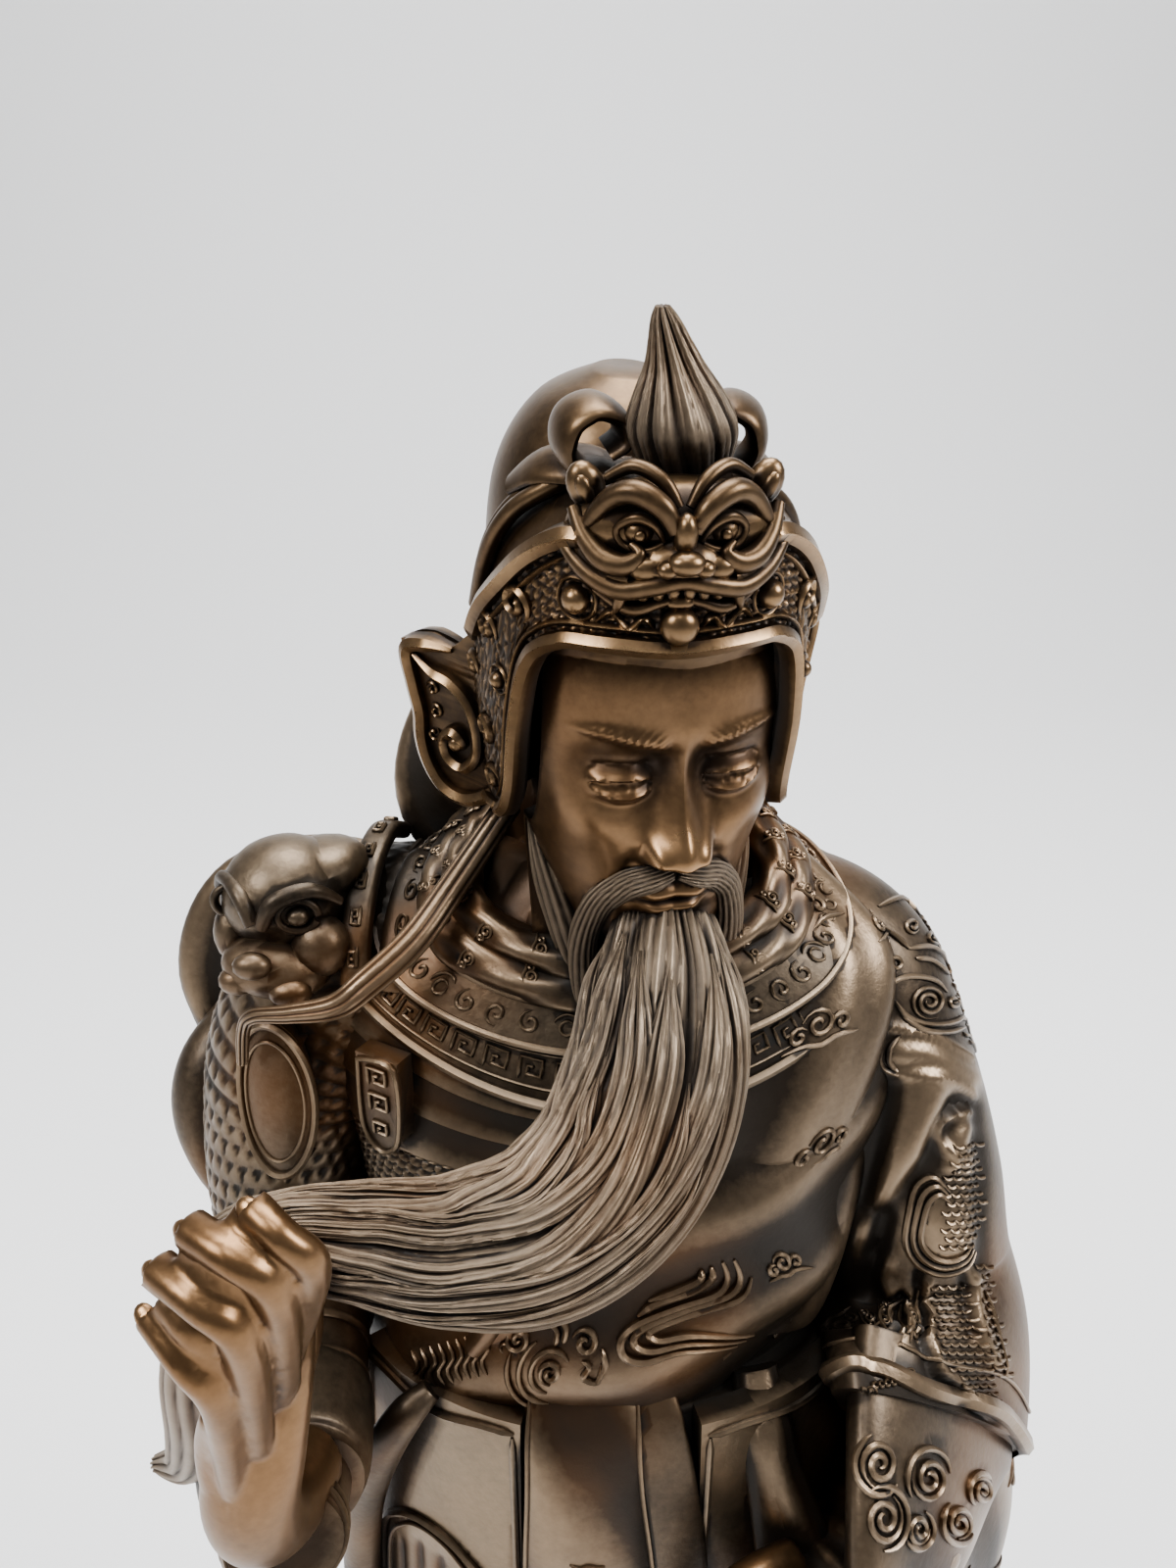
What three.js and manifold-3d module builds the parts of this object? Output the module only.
// A bronze figure of a bearded general in half armour and half robe, on a low plinth of its own.
// Millimetres, +Z up, origin at the middle of the plinth's underside. The figure faces -Y.
import * as THREE from "three";
import { mergeVertices } from "three/addons/utils/BufferGeometryUtils.js";
import Module from "manifold-3d";

const wasm = await Module();
wasm.setup();

// Driving dimensions of the plinth.
const PLINTH_WIDTH = 226;
const PLINTH_DEPTH = 192;
const PLINTH_HEIGHT = 28;
const PLINTH_CORNER = 34;
const STEP_INSET = 6;
const STEP_HEIGHT = 9;
const CORNER_STEPS = 4;

// The figure's height above the plinth. Its forms are drawn in units of which 575 make its height,
// and each takes its size and place from that height as it is made.
const FIGURE_HEIGHT = 575;
const UNIT = FIGURE_HEIGHT / 575;

// Facets narrower than this, where carved forms meet, are closed up.
const TIDY = 0.4 * UNIT;

// How the head sits on the neck, in drawn units and in degrees.
const HEAD_CENTRE = [4, -14, 503];
const HEAD_TURN = 15;
const HEAD_BOW = 12;

const TURN = Math.PI * 2;
const rad = THREE.MathUtils.degToRad;
const vec = (x, y, z) => new THREE.Vector3(x, y, z);

// A closed solid over rings of points that run anticlockwise about the way the rings advance.
function skin(rings) {
  const around = rings[0].length;
  const points = rings.flat();
  const faces = [];
  for (let r = 0; r + 1 < rings.length; r++) {
    for (let i = 0; i < around; i++) {
      const a = r * around + i;
      const b = r * around + ((i + 1) % around);
      faces.push(a, b, b + around, a, b + around, a + around);
    }
  }
  const middle = (ring) => ring.reduce((sum, p) => sum.add(p), vec(0, 0, 0)).divideScalar(around);
  const last = (rings.length - 1) * around;
  points.push(middle(rings[0]), middle(rings[rings.length - 1]));
  for (let i = 0; i < around; i++) {
    const j = (i + 1) % around;
    faces.push(points.length - 2, j, i, points.length - 1, last + i, last + j);
  }
  return solid(points, faces);
}

// A solid from points and triangles, turned the right way out.
function solid(points, faces) {
  const build = (tris) =>
    new wasm.Manifold(
      new wasm.Mesh({
        numProp: 3,
        vertProperties: new Float32Array(points.flatMap((p) => [p.x, p.y, p.z])),
        triVerts: new Uint32Array(tris),
      }),
    );
  const made = build(faces);
  return made.volume() > 0 ? made : build(faces.slice().reverse());
}

// A solid from a three.js geometry, with its shared vertices merged.
function solidFrom(geometry) {
  const bare = geometry.index ? geometry.toNonIndexed() : geometry.clone();
  bare.deleteAttribute("normal");
  bare.deleteAttribute("uv");
  const merged = mergeVertices(bare, 1e-3);
  const at = merged.getAttribute("position");
  const points = Array.from({ length: at.count }, (_, i) => vec(at.getX(i), at.getY(i), at.getZ(i)));
  return solid(points, Array.from(merged.index.array));
}

const joined = (parts) => parts.reduce((whole, part) => whole.add(part));

// A table of rows resampled smoothly to a number of steps, each column through its own values.
function smoothRows(rows, steps) {
  const out = [];
  for (let s = 0; s <= steps; s++) {
    const t = (s / steps) * (rows.length - 1);
    const i = Math.min(Math.floor(t), rows.length - 2);
    const f = t - i;
    const near = (k) => rows[Math.max(0, Math.min(rows.length - 1, i + k))];
    const [p0, p1, p2, p3] = [near(-1), near(0), near(1), near(2)];
    out.push(
      p1.map((v, c) => {
        const a = 2 * v;
        const b = p2[c] - p0[c];
        const d = 2 * p0[c] - 5 * v + 4 * p2[c] - p3[c];
        const e = 3 * v - p0[c] - 3 * p2[c] + p3[c];
        return 0.5 * (a + b * f + d * f * f + e * f * f * f);
      }),
    );
  }
  return out;
}

// One value of a superellipse's cosine or sine: power 1 is an ellipse, less is squarer.
const squarer = (v, power) => Math.sign(v) * Math.abs(v) ** power;

// Level rings, stacked upwards: each row is z, x, y, half width, half depth.
// wave(angle, share of the height) swells a ring, and tilt lifts it by so much for each unit of x and y.
function column(rows, options = {}) {
  const { sides = 24, steps = rows.length - 1, wave = () => 1, power = 1, tilt = [0, 0] } = options;
  const rings = smoothRows(rows, steps).map(([z, x, y, w, d], r) =>
    Array.from({ length: sides }, (_, i) => {
      const angle = (i / sides) * TURN;
      const swell = wave(angle, r / steps);
      const px = w * squarer(Math.cos(angle), power) * swell;
      const py = d * squarer(Math.sin(angle), power) * swell;
      return vec(x + px, y + py, z + tilt[0] * px + tilt[1] * py).multiplyScalar(UNIT);
    }),
  );
  return skin(rings);
}

// A tube along a route: each row is x, y, z, half width, half thickness. Its flat side looks along face.
function tube(rows, options = {}) {
  const { sides = 10, steps = (rows.length - 1) * 2, face = [0, -1, 0.4], wave = () => 1, power = 1 } = options;
  const route = smoothRows(rows, steps);
  const at = (row) => vec(row[0], row[1], row[2]);
  const look = vec(...face).normalize();
  const rings = route.map((row, r) => {
    const ahead = at(route[Math.min(r + 1, steps)]).sub(at(route[Math.max(r - 1, 0)])).normalize();
    const side = ahead.clone().cross(look).normalize();
    const out = ahead.clone().cross(side).normalize();
    return Array.from({ length: sides }, (_, i) => {
      const angle = (i / sides) * TURN;
      const swell = wave(angle, r / steps);
      return at(row)
        .addScaledVector(side, row[3] * squarer(Math.cos(angle), power) * swell)
        .addScaledVector(out, row[4] * squarer(Math.sin(angle), power) * swell)
        .multiplyScalar(UNIT);
    });
  });
  return skin(rings);
}

// An egg at a place, with its three half sizes, turned about x, y and z in degrees.
function egg(at, size, turn = [0, 0, 0], detail = 8) {
  const geometry = new THREE.SphereGeometry(1, detail + 2, detail);
  geometry.scale(...size);
  geometry.applyMatrix4(new THREE.Matrix4().makeRotationFromEuler(new THREE.Euler(...turn.map(rad))));
  geometry.translate(...at);
  geometry.scale(UNIT, UNIT, UNIT);
  return solidFrom(geometry);
}

// A plate cut to an outline of [along, up] points, standing from one place towards another.
function plate(outline, thickness, from, towards) {
  const shape = new THREE.Shape(outline.map(([s, z]) => new THREE.Vector2(s, z)));
  const geometry = new THREE.ExtrudeGeometry(shape, { depth: thickness, bevelEnabled: false });
  const along = vec(towards[0] - from[0], towards[1] - from[1], 0).normalize();
  const up = vec(0, 0, 1);
  const normal = along.clone().cross(up);
  geometry.translate(0, 0, -thickness / 2);
  geometry.applyMatrix4(new THREE.Matrix4().makeBasis(along, up, normal));
  geometry.translate(from[0], from[1], 0);
  geometry.scale(UNIT, UNIT, UNIT);
  return solidFrom(geometry);
}

// A curved band round a column's front: angles in degrees from the front, heights by functions of the angle.
function band({ centre, half, thickness, from, to, low, high, steps = 14, lean = 0 }) {
  const rings = [];
  for (let s = 0; s <= steps; s++) {
    const degrees = from + ((to - from) * s) / steps;
    const angle = rad(degrees) - Math.PI / 2;
    const at = (grow, z) =>
      vec(
        centre[0] + (half[0] + grow) * Math.cos(angle),
        centre[1] + (half[1] + grow) * Math.sin(angle) - lean * (z - low(degrees)),
        z,
      ).multiplyScalar(UNIT);
    rings.push([
      at(0, low(degrees)),
      at(thickness, low(degrees)),
      at(thickness, high(degrees)),
      at(0, high(degrees)),
    ]);
  }
  return skin(rings);
}

const mirrorRows = (rows) => rows.map(([x, ...rest]) => [-x, ...rest]);
const bothSides = (make) => [make(1), make(-1)];

// The bowed head in its own frame: x to the figure's left, -y to the front, origin inside the skull.
function head() {
  const skull = column(
    [
      [-42, 0, -19, 8, 8],
      [-36, 0, -16, 15, 15],
      [-24, 0, -9, 20, 23],
      [-8, 0, -4, 24.5, 28],
      [8, 0, -1, 26, 31],
      [22, 0, 1, 26, 31],
      [34, 0, 3, 20, 25],
      [42, 0, 3, 9, 12],
    ],
    { sides: 16, steps: 8, power: 0.9 },
  );
  const nose = tube(
    [
      [0, -29, 9, 2.6, 3],
      [0, -32, 1, 2.6, 4],
      [0, -36.5, -9, 3.6, 4.2],
      [0, -37, -15, 4.4, 3.6],
    ],
    { sides: 6, steps: 3 },
  );
  const lips = egg([0, -31.5, -25], [6.5, 3, 2.6], [0, 0, 0], 5);
  const features = bothSides((s) =>
    joined([
      egg([4.4 * s, -33, -13.5], [2.8, 3.4, 2.8], [0, 0, 0], 4),
      tube(
        [
          [2.5 * s, -31.5, 6, 2.2, 1.6],
          [11 * s, -30, 9, 2.8, 1.8],
          [21 * s, -21, 19, 1.4, 1.2],
        ],
        { sides: 6, steps: 3 },
      ),
      egg([10.5 * s, -26.2, -0.5], [6.4, 3.4, 3.4], [0, 0, 14 * s], 5),
      egg([14.5 * s, -22, -9], [8, 6, 6], [0, 0, 20 * s], 5),
      tube(
        [
          [1.2 * s, -34.5, -18.5, 2.6, 2],
          [8 * s, -32.5, -21.5, 2.8, 2.2],
          [13.5 * s, -28, -30, 2.4, 2.2],
          [16 * s, -26, -44, 2.2, 2.2],
        ],
        { sides: 6, steps: 4 },
      ),
    ]),
  );
  return joined([skull, nose, lips, ...features]);
}

// The helmet: cap, scrolled brow plate, beast mask, plume, ribbon loops, hood and ear flaps.
function helmet() {
  const cap = column(
    [
      [8, 0, 3, 28, 31],
      [16, 0, 2, 29.5, 33],
      [27, 0, 2, 29, 33],
      [38, 0, 3, 25, 29],
      [48, 0, 4, 14, 18],
    ],
    { sides: 16, steps: 4, tilt: [0, -0.34] },
  );
  const hood = column(
    [
      [-26, 0, 25, 20, 17],
      [-4, 0, 25, 25, 22],
      [20, 0, 24, 25.5, 24],
      [40, 0, 22, 24, 24],
      [53, 0, 21, 17, 18],
      [59.5, 0, 20, 6, 7],
    ],
    { sides: 16, steps: 6 },
  );
  const crest = (degrees) => {
    const off = Math.abs(degrees);
    return 34 + 14 * Math.cos(rad(Math.min(off, 90))) + 2 * Math.cos(rad(off * 9));
  };
  const rim = (degrees) => 28 - 16 * (Math.abs(degrees) / 85) ** 2;
  const browPlate = band({
    centre: [0, 0],
    half: [28.5, 34],
    thickness: 3,
    from: -100,
    to: 100,
    low: rim,
    high: crest,
    steps: 16,
    lean: -0.12,
  });
  const trim = band({
    centre: [0, 0],
    half: [29, 34.5],
    thickness: 4,
    from: -100,
    to: 100,
    low: (d) => rim(d) - 1.6,
    high: (d) => rim(d) + 1.6,
    steps: 14,
  });
  const mask = joined([
    egg([0, -31, 46.5], [18, 6.5, 8.5], [12, 0, 0], 6),
    egg([0, -38, 45], [3.4, 2.8, 2.6], [0, 0, 0], 4),
    egg([0, -36.5, 33], [3, 2.6, 3], [0, 0, 0], 4),
    tube(
      [
        [-21, -27, 43, 1.8, 2.2],
        [-12, -34.5, 38.5, 1.8, 2.2],
        [0, -38, 37.5, 1.8, 2.2],
        [12, -34.5, 38.5, 1.8, 2.2],
        [21, -27, 43, 1.8, 2.2],
      ],
      { sides: 5, steps: 6 },
    ),
    ...bothSides((s) =>
      joined([
        egg([14.5 * s, -28, 51], [3.4, 3, 4.4], [0, 20 * s, 0], 4),
        egg([8 * s, -36, 49.5], [4.8, 2.4, 2], [0, -14 * s, 0], 4),
        egg([15 * s, -33, 31.5], [2, 2, 2], [0, 0, 0], 4),
      ]),
    ),
  ]);
  const plume = column(
    [
      [46, 0.5, -19, 5.6, 5.6],
      [53, 1, -19, 8.6, 8.2],
      [60, 1.2, -18.5, 8.6, 8],
      [68, -0.5, -18, 5.8, 5.4],
      [74, -3, -17.5, 3, 2.8],
      [76.6, -4.4, -17, 1.4, 1.4],
    ],
    { sides: 24, steps: 6, wave: (angle, t) => 1 + 0.09 * Math.cos(8 * angle + 5 * t) },
  );
  const loops = bothSides((s) => {
    const rows = [
      [5, -14, 47, 3.4, 2.4],
      [13, -10, 54, 4.4, 2.6],
      [18.5, -8, 60, 4.2, 2.6],
      [14.5, -4, 62, 3.6, 2.4],
      [7, -3, 54, 3, 2.2],
    ];
    return tube(s > 0 ? rows : mirrorRows(rows), { sides: 6, steps: 7, face: [0.3 * s, 0.2, 1] });
  });
  const flapOutline = [
    [-2, 12],
    [6, 4],
    [14, 2],
    [22, 8],
    [29, 10],
    [27, 1],
    [23, -7],
    [17, -14],
    [10, -19],
    [3, -18],
    [-1, -12],
    [-3, 0],
  ];
  const flaps = bothSides((s) => plate(flapOutline, 4.5, [-21 * s, -8], [-43 * s, 16]));
  return joined([cap, hood, browPlate, trim, mask, plume, ...loops, ...flaps]);
}

// The head and helmet as they sit on the neck, turned to the figure's left and bowed.
function headOnNeck() {
  const pose = new THREE.Matrix4()
    .makeTranslation(...HEAD_CENTRE.map((v) => v * UNIT))
    .multiply(new THREE.Matrix4().makeRotationZ(rad(HEAD_TURN)))
    .multiply(new THREE.Matrix4().makeRotationX(rad(HEAD_BOW)));
  const nape = tube(
    [
      [2, 6, 440, 25, 22],
      [3, 1, 466, 21, 20],
      [5, -9, 492, 20, 21],
    ],
    { sides: 12, steps: 2 },
  );
  const drape = tube(
    [
      [-24, 22, 502, 8, 6],
      [-34, 20, 486, 12, 8],
      [-34, 18, 466, 15, 9],
      [-10, 24, 448, 15, 9],
    ],
    { sides: 8, steps: 4 },
  );
  const neckGuard = column(
    [
      [440, 1, 18, 46, 29],
      [456, 1, 15, 36, 25],
      [476, 3, 14, 27, 24],
      [500, 4, 13, 23, 22],
    ],
    { sides: 20, steps: 3, wave: (angle, t) => 1 + 0.03 * (1 - t) * Math.cos(10 * angle) },
  );
  return joined([joined([head(), helmet()]).transform(pose.elements), nape, drape, neckGuard]);
}

// The long beard swept across the chest into the hand, and its tuft beyond the hand.
function beard() {
  const strands = (angle) => 1 + 0.07 * Math.cos(11 * angle);
  const sweep = tube(
    [
      [8, -33, 476, 10, 7],
      [9.5, -45, 458, 14.5, 9],
      [7.5, -56, 441, 16.5, 9.5],
      [0, -66, 427, 18, 10],
      [-13, -75, 420.5, 17, 10],
      [-29, -81, 423, 13.5, 9],
      [-43, -86, 430.5, 9.5, 8],
      [-54, -89, 435, 7.5, 7],
      [-64, -89, 431, 6.5, 6],
      [-72, -87, 414, 6, 5.5],
    ],
    { sides: 33, steps: 11, wave: strands, face: [0, -1, 0.55] },
  );
  const tuft = tube(
    [
      [-70, -88, 420, 6, 5],
      [-78, -82, 396, 6.5, 5],
      [-80, -76, 374, 6.5, 4.5],
      [-87, -70, 357, 5, 3.6],
      [-95, -66, 352, 2.2, 2],
    ],
    { sides: 12, steps: 5, wave: (angle) => 1 + 0.08 * Math.cos(4 * angle) },
  );
  return joined([sweep, tuft]);
}

// The right hand closed on the beard: four bent fingers, a thumb behind, the palm and the wrist.
function beardHand() {
  const fingers = [
    [5.2, [-54, -100, 412], [-46, -110, 442], [-53, -107, 450], [-61, -101, 458]],
    [5.6, [-58, -103, 408], [-53, -113, 434], [-64, -110, 445], [-71, -103, 449]],
    [5.4, [-64, -104, 404], [-60, -115, 426], [-69, -112, 435], [-76, -104, 442]],
    [5, [-70, -102, 398], [-67, -113, 415], [-74, -110, 423], [-80, -103, 431]],
  ];
  const swell = [1.1, 1.06, 0.94, 0.68];
  const digits = fingers.map(([radius, ...bones]) =>
    tube(
      bones.map((bone, i) => [...bone, radius * swell[i], radius * swell[i]]),
      { sides: 8, steps: 5, face: [0.2, -1, 0.5] },
    ),
  );
  const palm = tube(
    [
      [-60, -88, 370, 14, 11],
      [-61, -94, 384, 17, 12],
      [-62, -98, 400, 19, 12],
      [-63, -98, 414, 17, 10],
    ],
    { sides: 12, steps: 4, face: [0.1, -1, 0.2] },
  );
  const thumb = tube(
    [
      [-50, -88, 392, 7, 7],
      [-47, -88, 414, 6, 6],
      [-52, -84, 436, 5, 5],
      [-60, -84, 446, 4, 4],
    ],
    { sides: 8, steps: 4 },
  );
  return joined([...digits, palm, thumb]);
}

// The armoured right arm: shoulder dome, beast pauldron, upper arm, hanging panel and forearm.
function armouredArm() {
  const upper = tube(
    [
      [-44, 4, 436, 24, 26],
      [-62, 3, 432, 27, 27],
      [-77, 2, 414, 24, 26],
      [-83, 0, 392, 22, 24],
      [-84, -6, 368, 20, 21],
      [-82, -14, 352, 15, 17],
    ],
    { sides: 16, steps: 7, face: [0, -1, 0] },
  );
  const forearm = tube(
    [
      [-84, -2, 362, 18, 18],
      [-77, -40, 352, 18, 17],
      [-68, -72, 356, 15, 14],
      [-61, -90, 374, 12.5, 11.5],
    ],
    { sides: 12, steps: 5, face: [0.3, 0, 1] },
  );
  const cuff = tube(
    [
      [-74, -54, 353, 19, 17.5],
      [-69, -72, 355, 17.5, 16.5],
    ],
    { sides: 12, steps: 1, face: [0.3, 0, 1] },
  );
  const pauldron = joined([
    egg([-72, -8, 447], [17, 15, 16], [0, -20, 0], 7),
    egg([-87, -14, 446], [9, 9, 8], [0, -10, 0], 5),
    egg([-80, -20, 434], [11, 8, 6], [0, 12, 0], 5),
    egg([-86, -6, 458], [5, 4, 5], [0, 0, 0], 4),
    egg([-84, -19, 452], [4.4, 4, 4.4], [0, 0, 0], 4),
  ]);
  const panel = band({
    centre: [-80, -2],
    half: [23, 25],
    thickness: 3.5,
    from: -62,
    to: 34,
    low: (d) => 366 + ((d + 14) / 48) ** 2 * 16,
    high: () => 428,
    steps: 8,
    lean: 0.05,
  });
  const cloak = tube(
    [
      [-44, 24, 424, 17, 10],
      [-72, 26, 430, 20, 9],
      [-94, 25, 428, 19, 8],
      [-106, 22, 414, 13, 7],
      [-100, 18, 394, 9, 6],
      [-88, 12, 376, 8, 6],
    ],
    { sides: 12, steps: 7, face: [0, -1, 0.1] },
  );
  return joined([upper, forearm, cuff, pauldron, panel, cloak]);
}

// The way the wide sleeve's opening lies, so that its long side falls from the belt to below the elbow.
const SLEEVE_FACE = [0.63, -0.61, 0.23];

// The robed left arm: shoulder, wide open sleeve, its hanging end, inner sleeve and the hand at the belt.
function robedArm() {
  const folds = (angle, t) => 1 + 0.05 * t * Math.cos(5 * angle + 6 * t);
  const sleeve = tube(
    [
      [36, 4, 438, 26, 24],
      [55, 3, 434, 30, 26],
      [67, 0, 408, 26, 27],
      [73, -5, 378, 27, 27],
      [80, -8, 350, 28, 26],
      [82, -12, 326, 25, 22],
    ],
    { sides: 20, steps: 6, face: [-0.5, -1, 0.2], wave: folds },
  );
  const foreSleeve = tube(
    [
      [91, -8, 346, 27, 22],
      [88, -22, 334, 36, 21],
      [80, -37, 319, 42, 16],
    ],
    { sides: 18, steps: 3, face: SLEEVE_FACE },
  );
  const mouth = tube(
    [
      [88, -24, 332, 28, 8],
      [83, -32, 324, 36, 11],
      [77, -43, 313, 40, 14],
    ],
    { sides: 14, steps: 2, face: SLEEVE_FACE },
  );
  const hanging = tube(
    [
      [84, -24, 338, 24, 13],
      [89, -26, 300, 31, 13],
      [95, -20, 262, 36, 13],
      [95, -16, 222, 34, 11],
      [93, -14, 190, 25, 8],
      [92, -12, 172, 13, 5],
    ],
    { sides: 18, steps: 6, face: [0.75, -0.66, 0], wave: (angle, t) => 1 + 0.07 * t * Math.cos(7 * angle) },
  );
  const inner = tube(
    [
      [90, -16, 326, 17, 15],
      [72, -42, 322, 17, 14],
      [56, -60, 318, 15, 13],
      [44, -68, 314, 14, 12],
    ],
    { sides: 12, steps: 4, face: [-0.3, 0, 1] },
  );
  const fist = joined([
    egg([33, -68, 313], [13, 10, 12], [0, 20, 20], 6),
    ...[0, 1, 2, 3].map((n) =>
      tube(
        [
          [36 - n * 1.2, -78, 321 - n * 6.2, 3.8, 3.8],
          [26 - n * 1.4, -80, 320 - n * 6.2, 3.9, 3.8],
          [20 - n * 1.2, -74, 318 - n * 6.2, 3.4, 3.4],
        ],
        { sides: 7, steps: 3 },
      ),
    ),
    tube(
      [
        [38, -62, 325, 5, 5],
        [28, -68, 329, 4.4, 4.4],
        [19, -72, 326, 3.8, 3.8],
      ],
      { sides: 7, steps: 3 },
    ),
  ]);
  return joined([joined([sleeve, foreSleeve]).subtract(mouth), hanging, inner, fist]);
}

// The trunk: chest, cloud collar, breast tab, robe wrapped across the belly and the belt.
function trunk() {
  const chest = column(
    [
      [290, 0, 0, 62, 48],
      [344, 0, -3, 53, 41],
      [366, 0, -5, 56, 43],
      [398, 0, -3, 60, 42],
      [424, 0, 0, 66, 40],
      [442, 0, 3, 64, 34],
      [456, 1, 4, 44, 27],
      [466, 2, 3, 27, 22],
    ],
    { sides: 22, steps: 6, power: 0.92 },
  );
  const collar = column(
    [
      [430, -2, 2, 52, 43],
      [434, -2, 2, 54, 45],
      [440, -1, 2, 49, 42],
      [450, 1, 2, 36, 33],
      [459, 2, 1, 27, 27],
      [466, 3, 0, 22, 22],
    ],
    { sides: 20, tilt: [0, 0.42] },
  );
  const scarf = column(
    [
      [452, 3, -2, 24, 25],
      [460, 3, -2, 27, 28],
      [468, 3, -2, 23, 24],
    ],
    { sides: 16, tilt: [0, 0.35] },
  );
  const tab = plate(
    [
      [-6, 430],
      [-7, 414],
      [0, 405],
      [7, 413],
      [6, 430],
    ],
    4,
    [-38, -37],
    [-28, -41],
  );
  const wrap = column(
    [
      [338, 0, -4, 56, 44],
      [352, 0, -6, 61, 48],
      [366, 0, -6, 62, 49],
      [384, 2, -5, 62, 47],
      [398, 4, -3, 63, 44],
      [412, 6, -1, 60, 40],
    ],
    { sides: 30, steps: 4, tilt: [0.42, 0], wave: (angle, t) => 1 + 0.018 * Math.sin(9 * angle + 8 * t) },
  );
  const lapel = tube(
    [
      [34, 2, 452, 14, 9],
      [42, -30, 430, 18, 9],
      [36, -46, 400, 20, 8],
      [20, -50, 372, 16, 8],
    ],
    { sides: 10, steps: 4, face: [0.3, -1, 0.2] },
  );
  const belt = column(
    [
      [330, 0, -3, 57, 45],
      [334, 0, -3, 60, 48],
      [344, 0, -3, 60, 48],
      [348, 0, -3, 57, 45],
    ],
    { sides: 24 },
  );
  return joined([chest, collar, scarf, tab, wrap, lapel, belt]);
}

// Below the belt: the long robe, two thigh panels, the sash end, the train behind and the boots.
function skirts() {
  const folds = (angle, t) =>
    1 + (1 - t) * (0.05 * Math.cos(11 * angle + 1.5 * t) + 0.03 * Math.cos(17 * angle - 2 * t));
  const robe = column(
    [
      [9, 4, 6, 92, 68],
      [40, 4, 5, 86, 63],
      [110, 3, 3, 77, 58],
      [190, 2, 1, 72, 55],
      [262, 0, -1, 68, 52],
      [310, 0, -2, 62, 49],
      [346, 0, -3, 52, 42],
    ],
    { sides: 52, steps: 4, wave: folds },
  );
  const underRobe = column(
    [
      [0, 4, 8, 84, 61],
      [40, 4, 6, 78, 56],
    ],
    { sides: 27, wave: (angle) => 1 + 0.03 * Math.cos(9 * angle) },
  );
  const mantle = column(
    [
      [2, 12, 30, 84, 57],
      [70, 11, 27, 76, 48],
      [160, 8, 23, 66, 42],
      [260, 4, 18, 58, 36],
      [340, 0, 15, 54, 31],
      [410, 0, 12, 56, 29],
      [441, 1, 12, 44, 23],
    ],
    { sides: 42, steps: 4, wave: (angle, t) => 1 + (0.06 - 0.05 * t) * Math.cos(14 * angle + 2 * t) },
  );
  const thighPanel = (s) =>
    band({
      centre: [0, -2],
      half: [62, 50],
      thickness: 7,
      from: s > 0 ? 18 : -78,
      to: s > 0 ? 78 : -20,
      low: (d) => 196 + ((Math.abs(d) - 48) / 30) ** 2 * 20,
      high: () => 338,
      steps: 7,
      lean: 0.12,
    });
  const sash = tube(
    [
      [-3, -44, 354, 17, 4],
      [-3, -55, 336, 16.5, 4],
      [-2, -60, 312, 16.5, 3.5],
      [-2, -61, 240, 17, 3.5],
      [-1, -61, 180, 18, 3.5],
      [-1, -63, 128, 20, 3],
    ],
    { sides: 8, steps: 6, power: 0.5, face: [0, -1, 0.2] },
  );
  const boot = (x, y, toe) =>
    joined([
      column(
        [
          [0, x, y, 16, 26],
          [4, x, y, 17, 28],
          [12, x, y + 1, 16, 26],
          [24, x, y + 8, 14, 17],
          [40, x * 0.9, y + 24, 14, 16],
        ],
        { sides: 12, steps: 3 },
      ),
      tube(
        [
          [x, y - 12, 9, 13, 8],
          [x + toe * 2, y - 26, 10, 11, 8],
          [x + toe * 4, y - 34, 17, 6, 4.5],
        ],
        { sides: 10, steps: 3, face: [0, 0, 1] },
      ),
    ]);
  const boots = [boot(-34, -52, -1), boot(38, -46, 1)];
  return joined([robe, underRobe, mantle, thighPanel(1), thighPanel(-1), sash, ...boots]);
}

// The two ribbons that tie the helmet, blown back over the armoured shoulder, and the waist ribbon.
function ribbons() {
  const tie = tube(
    [
      [-22, -14, 478, 3.6, 2.6],
      [-30, -20, 458, 4, 2.6],
      [-46, -32, 440, 4.6, 2.8],
      [-60, -34, 430, 4.2, 2.8],
      [-78, -30, 427, 3.4, 2.4],
      [-90, -26, 421, 2.4, 2],
    ],
    { sides: 7, steps: 9 },
  );
  const knot = joined([
    egg([34, -50, 340], [8, 6, 6], [0, 0, 0], 6),
    tube(
      [
        [36, -52, 338, 7, 3],
        [42, -60, 290, 7.5, 3],
        [40, -64, 240, 8, 3],
        [46, -66, 196, 8, 2.6],
      ],
      { sides: 8, steps: 4, power: 0.6 },
    ),
  ]);
  return joined([tie, knot]);
}

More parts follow.
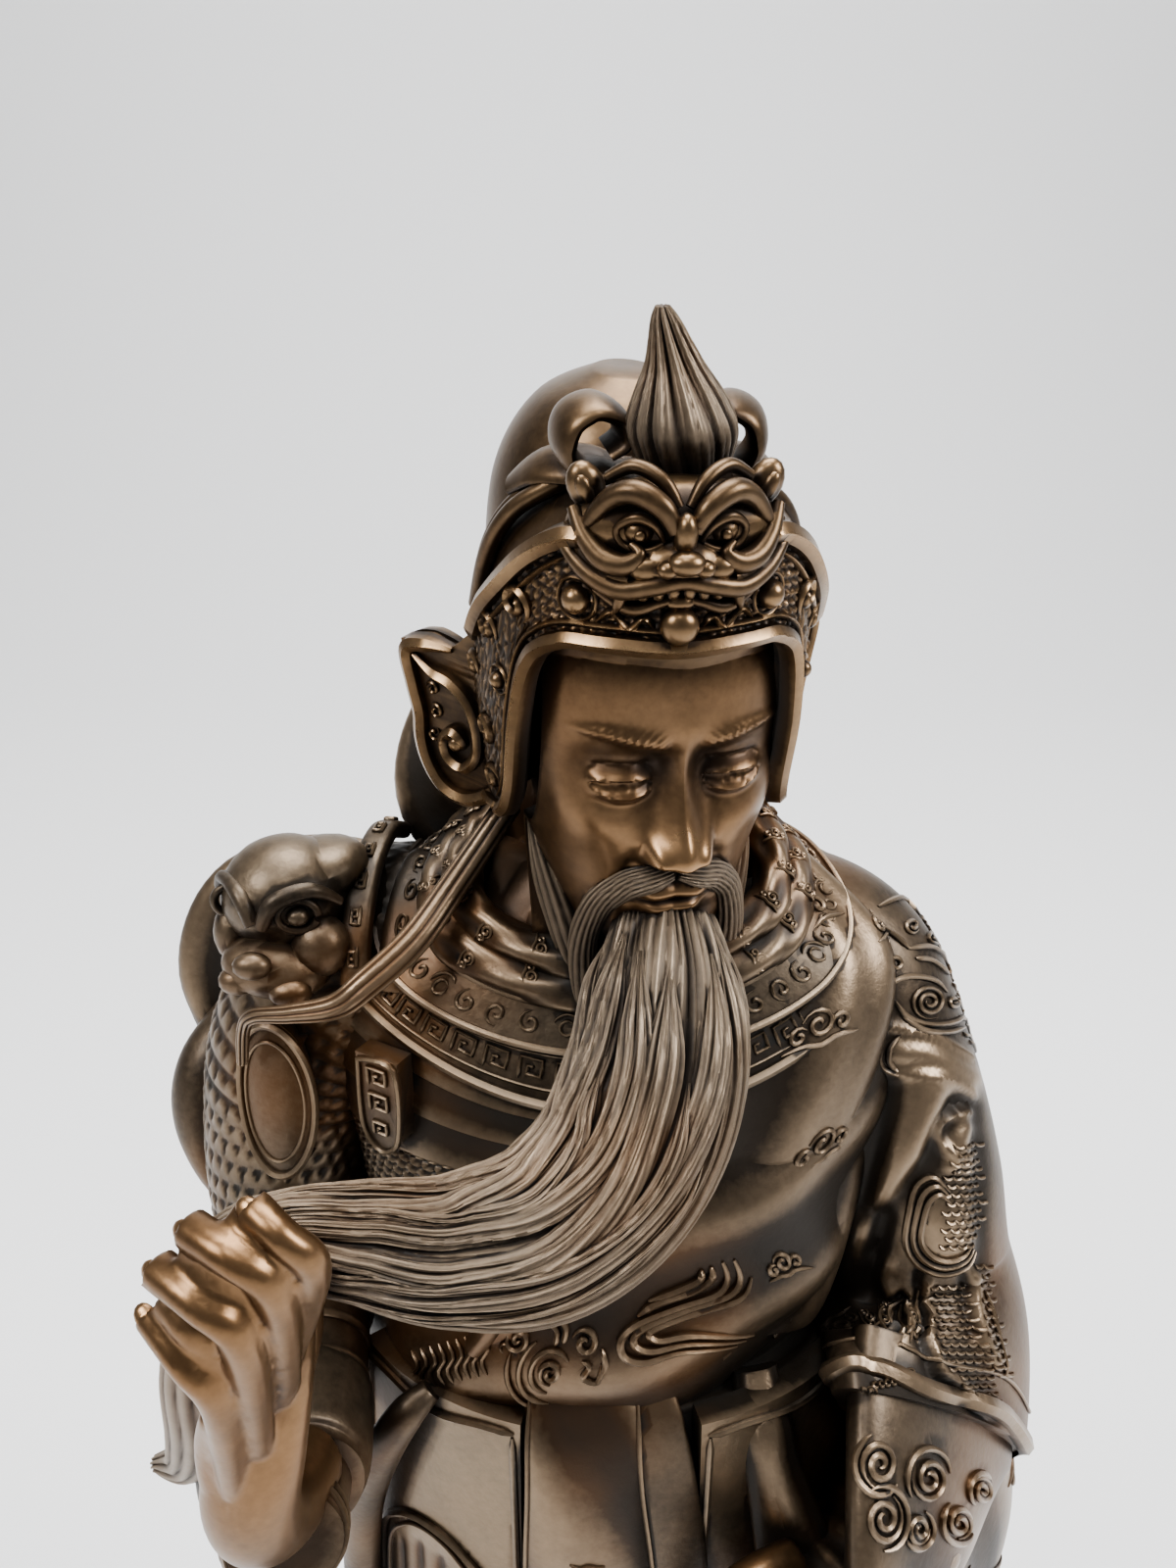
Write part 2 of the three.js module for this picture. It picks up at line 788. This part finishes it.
// The cast figure, one solid, standing on z 0 of its own frame.
function figure() {
  const upper = [trunk(), headOnNeck(), beard(), beardHand(), armouredArm(), robedArm()];
  const whole = joined([...upper, skirts(), ribbons()]);
  const floor = new THREE.BoxGeometry(FIGURE_HEIGHT, FIGURE_HEIGHT, FIGURE_HEIGHT / 2);
  floor.translate(0, 0, -FIGURE_HEIGHT / 4);
  return whole.subtract(solidFrom(floor)).asOriginal().simplify(TIDY);
}

// The outline of a slab with rounded corners.
function roundedOutline(width, depth, corner) {
  const outline = [];
  const centres = [
    [1, 1, 0],
    [-1, 1, 1],
    [-1, -1, 2],
    [1, -1, 3],
  ];
  for (const [sx, sy, quarter] of centres) {
    for (let s = 0; s <= CORNER_STEPS; s++) {
      const angle = ((quarter + s / CORNER_STEPS) * Math.PI) / 2;
      outline.push([
        sx * (width / 2 - corner) + corner * Math.cos(angle),
        sy * (depth / 2 - corner) + corner * Math.sin(angle),
      ]);
    }
  }
  return outline;
}

// The plinth: a low slab with a step and a hollowed moulding all round.
function plinth() {
  const levels = [
    [0, 0],
    [STEP_HEIGHT, 0],
    [STEP_HEIGHT + 2, STEP_INSET],
    [PLINTH_HEIGHT - 8, STEP_INSET],
    [PLINTH_HEIGHT - 4, STEP_INSET / 2],
    [PLINTH_HEIGHT, STEP_INSET / 2],
  ];
  const rings = levels.map(([z, inset]) =>
    roundedOutline(PLINTH_WIDTH - 2 * inset, PLINTH_DEPTH - 2 * inset, PLINTH_CORNER - inset).map(([x, y]) =>
      vec(x, y, z),
    ),
  );
  return skin(rings);
}

// A named mesh from a solid.
function mesh(name, made, material, height = 0) {
  const out = made.getMesh();
  const geometry = new THREE.BufferGeometry();
  geometry.setAttribute("position", new THREE.BufferAttribute(new Float32Array(out.vertProperties), 3));
  geometry.setIndex(new THREE.BufferAttribute(new Uint32Array(out.triVerts), 1));
  geometry.computeVertexNormals();
  const named = new THREE.Mesh(geometry, material);
  named.name = name;
  named.position.z = height;
  return named;
}

const bronze = new THREE.MeshStandardMaterial({ color: 0x5a4630, roughness: 0.38, metalness: 0.9 });
const darkBronze = new THREE.MeshStandardMaterial({ color: 0x33291f, roughness: 0.5, metalness: 0.85 });

const statue = new THREE.Group();
statue.add(mesh("plinth", plinth(), darkBronze));
statue.add(mesh("figure", figure(), bronze, PLINTH_HEIGHT));

export default statue;
